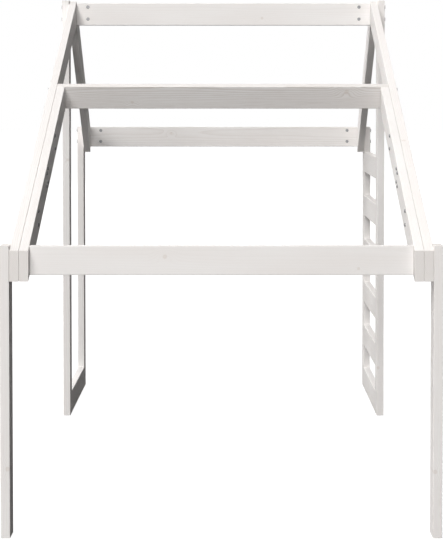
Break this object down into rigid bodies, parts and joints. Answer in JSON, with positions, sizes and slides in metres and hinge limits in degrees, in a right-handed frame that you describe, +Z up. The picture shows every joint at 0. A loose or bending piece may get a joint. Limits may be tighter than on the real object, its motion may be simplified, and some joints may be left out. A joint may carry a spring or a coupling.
{
  "type": "bunk bed with ladder",
  "caption": "Open house-shaped bed frame of glazed pine boards: low foot end, ridge over the head part, ladder of boards between the rear posts on one side.",
  "frame": {"origin": "on the floor, under the middle of the frame's outer box", "axes": "+Z up; -Y towards the low foot end; +X towards the side that carries the ladder"},
  "size_m": [1.0074, 2.08, 1.294],
  "materials": {
    "white_pine": "planed pine under a thin white glaze, satin, grain showing",
    "zinc_steel": "bright zinc plated, satin",
    "beech_dowel": "raw fluted beech"
  },
  "bodies": {
    "root": {"back_barrel_nut_left_lower": "zinc_steel", "back_barrel_nut_left_upper": "zinc_steel", "back_barrel_nut_right_lower": "zinc_steel", "back_barrel_nut_right_upper": "zinc_steel", "back_beam": "white_pine", "back_bolt_left_lower": "zinc_steel", "back_bolt_left_upper": "zinc_steel", "back_bolt_right_lower": "zinc_steel", "back_bolt_right_upper": "zinc_steel", "back_post_left": "white_pine", "back_post_right": "white_pine", "bottom_rail_left": "white_pine", "front_barrel_nut_left_lower": "zinc_steel", "front_barrel_nut_left_upper": "zinc_steel", "front_barrel_nut_right_lower": "zinc_steel", "front_barrel_nut_right_upper": "zinc_steel", "front_bolt_left_lower": "zinc_steel", "front_bolt_left_upper": "zinc_steel", "front_bolt_right_lower": "zinc_steel", "front_bolt_right_upper": "zinc_steel", "front_post_left": "white_pine", "front_post_right": "white_pine", "front_rail": "white_pine", "ladder_bottom_board": "white_pine", "ladder_rung_1": "white_pine", "ladder_rung_2": "white_pine", "ladder_rung_3": "white_pine", "ladder_rung_4": "white_pine", "ladder_rung_5": "white_pine", "purlin": "white_pine", "purlin_barrel_nut_left_lower": "zinc_steel", "purlin_barrel_nut_left_upper": "zinc_steel", "purlin_barrel_nut_right_lower": "zinc_steel", "purlin_barrel_nut_right_upper": "zinc_steel", "purlin_bolt_left_lower": "zinc_steel", "purlin_bolt_left_upper": "zinc_steel", "purlin_bolt_right_lower": "zinc_steel", "purlin_bolt_right_upper": "zinc_steel", "rafter_lower_left": "white_pine", "rafter_lower_right": "white_pine", "rafter_upper_left": "white_pine", "rafter_upper_right": "white_pine", "rear_rafter_left": "white_pine", "rear_rafter_right": "white_pine", "ridge_barrel_nut_left_lower": "zinc_steel", "ridge_barrel_nut_left_upper": "zinc_steel", "ridge_barrel_nut_right_lower": "zinc_steel", "ridge_barrel_nut_right_upper": "zinc_steel", "ridge_beam": "white_pine", "ridge_bolt_left_lower": "zinc_steel", "ridge_bolt_left_upper": "zinc_steel", "ridge_bolt_right_lower": "zinc_steel", "ridge_bolt_right_upper": "zinc_steel", "ridge_post_left": "white_pine", "ridge_post_right": "white_pine", "splice_board_left": "white_pine", "splice_board_right": "white_pine", "tail_screw_left": "zinc_steel", "tail_screw_right": "zinc_steel"}
  },
  "joints": []
}
